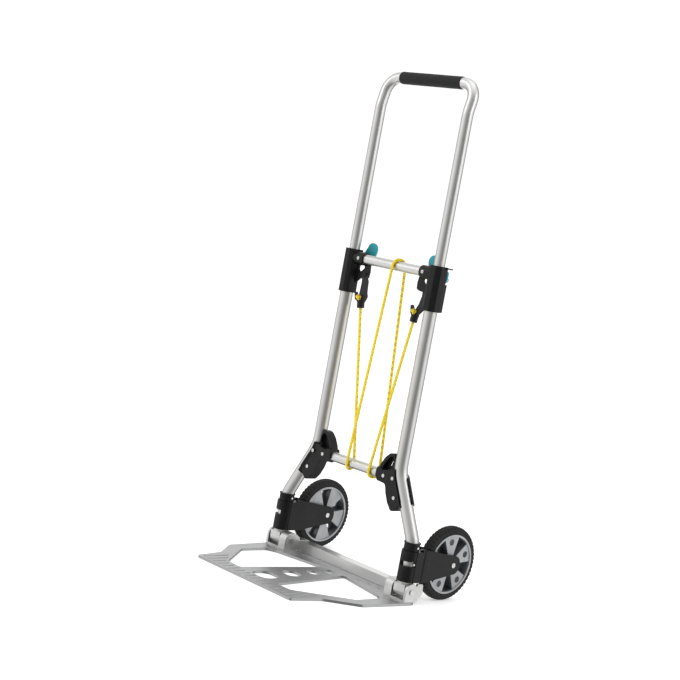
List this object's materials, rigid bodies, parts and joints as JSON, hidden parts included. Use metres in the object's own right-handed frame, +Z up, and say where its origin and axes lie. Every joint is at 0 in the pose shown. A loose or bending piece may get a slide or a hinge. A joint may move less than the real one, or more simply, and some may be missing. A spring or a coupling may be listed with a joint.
{
  "type": "folding hand truck",
  "caption": "Folding two-wheeled hand truck: telescopic tube handle, open sheet platform hinged at the feet, swing-in wheel carriers and an elastic load cord.",
  "frame": {"origin": "centre of the footprint on the floor, which is the bottom centre of the bounding box", "axes": "+X to the truck's right seen from in front of the platform, +Y back towards the wheels and the user, +Z up along the tubes to the grip"},
  "size_m": [0.459, 0.4766, 1.1139],
  "materials": {
    "tube": "satin drawn tube",
    "sheet": "brushed pressed sheet",
    "cast": "cast, lightly blasted",
    "black_plastic": "fine grained",
    "grip_foam": "closed-cell foam",
    "lever_plastic": "satin turquoise",
    "steel": "zinc plated",
    "rim_plastic": "silver grey",
    "tyre": "ribbed",
    "bush": "natural",
    "cord": "braided"
  },
  "bodies": {
    "frame": {"main_tube_left": "tube", "main_tube_right": "tube", "upper_crossbar": "tube", "lower_crossbar": "tube", "upper_bracket_left": "black_plastic", "upper_bracket_right": "black_plastic", "upper_bar_rivets": "steel", "lever_pin_left": "steel", "lever_pin_right": "steel", "knee_bracket_left": "black_plastic", "knee_bracket_right": "black_plastic", "knee_rivets": "steel", "swivel_collar_left": "black_plastic", "swivel_collar_right": "black_plastic", "collar_rivets": "steel", "swivel_washer_left": "bush", "swivel_washer_right": "bush", "swivel_stop_pin_left": "steel", "swivel_stop_pin_right": "steel", "tube_foot_left": "cast", "tube_foot_right": "cast", "elastic_cord": "cord", "cord_hook_left": "black_plastic", "cord_hook_right": "black_plastic", "cord_knot_left": "cord", "cord_knot_right": "cord"},
    "handle": {"handle_tube": "tube", "handle_grip": "grip_foam", "handle_glide_left": "black_plastic", "handle_glide_right": "black_plastic"},
    "platform": {"platform_deck": "sheet", "cross_beam": "sheet", "hinge_clevis_left": "cast", "hinge_clevis_right": "cast", "pivot_pin_left": "steel", "pivot_pin_right": "steel", "deck_rivets": "steel"},
    "lever_left": {"release_lever_left": "lever_plastic"},
    "plunger_left": {"lock_plunger_left": "steel"},
    "carrier_left": {"wheel_carrier_left": "black_plastic", "wheel_axle_left": "steel", "axle_spacers_left": "bush"},
    "wheel_left": {"wheel_rim_left": "rim_plastic", "tyre_left": "tyre", "wheel_bush_left": "bush"},
    "lever_right": {"release_lever_right": "lever_plastic"},
    "plunger_right": {"lock_plunger_right": "steel"},
    "carrier_right": {"wheel_carrier_right": "black_plastic", "wheel_axle_right": "steel", "axle_spacers_right": "bush"},
    "wheel_right": {"wheel_rim_right": "rim_plastic", "tyre_right": "tyre", "wheel_bush_right": "bush"}
  },
  "joints": [
    {"name": "handle_slide", "type": "slide", "parent": "frame", "child": "handle", "axis": [0, 0, 1], "range_m": [-0.315, 0]},
    {"name": "platform_fold", "type": "hinge", "parent": "frame", "child": "platform", "pos_m": [0, 0.03775, 0.0275], "axis": [-1, 0, 0], "range_deg": [0, 90]},
    {"name": "release_lever_left", "type": "hinge", "parent": "frame", "child": "lever_left", "pos_m": [-0.131, 0.06225, 0.684], "axis": [-1, 0, 0], "range_deg": [0, 12], "stiffness_Nm_per_rad": 0.25, "springref_deg": -14.32},
    {"name": "lock_plunger_left", "type": "slide", "parent": "frame", "child": "plunger_left", "axis": [0, 1, 0], "range_m": [0, 0.0023]},
    {"name": "wheel_swivel_left", "type": "hinge", "parent": "frame", "child": "carrier_left", "pos_m": [-0.203, 0.03775, 0.082], "axis": [0, 0, -1], "range_deg": [0, 90]},
    {"name": "wheel_spin_left", "type": "hinge", "parent": "carrier_left", "child": "wheel_left", "pos_m": [-0.203, 0.15625, 0.082], "axis": [1, 0, 0], "continuous": true},
    {"name": "release_lever_right", "type": "hinge", "parent": "frame", "child": "lever_right", "pos_m": [0.131, 0.06225, 0.684], "axis": [-1, 0, 0], "range_deg": [0, 12], "stiffness_Nm_per_rad": 0.25, "springref_deg": -14.32},
    {"name": "lock_plunger_right", "type": "slide", "parent": "frame", "child": "plunger_right", "axis": [0, 1, 0], "range_m": [0, 0.0023]},
    {"name": "wheel_swivel_right", "type": "hinge", "parent": "frame", "child": "carrier_right", "pos_m": [0.203, 0.03775, 0.082], "axis": [0, 0, 1], "range_deg": [0, 90]},
    {"name": "wheel_spin_right", "type": "hinge", "parent": "carrier_right", "child": "wheel_right", "pos_m": [0.203, 0.15625, 0.082], "axis": [1, 0, 0], "continuous": true}
  ],
  "couplings": [
    {"joint": "wheel_swivel_left", "follows": "platform_fold", "ratio": 1},
    {"joint": "wheel_swivel_right", "follows": "platform_fold", "ratio": 1},
    {"joint": "lock_plunger_left", "follows": "release_lever_left", "m_per_rad": 0.0105},
    {"joint": "lock_plunger_right", "follows": "release_lever_right", "m_per_rad": 0.0105}
  ]
}
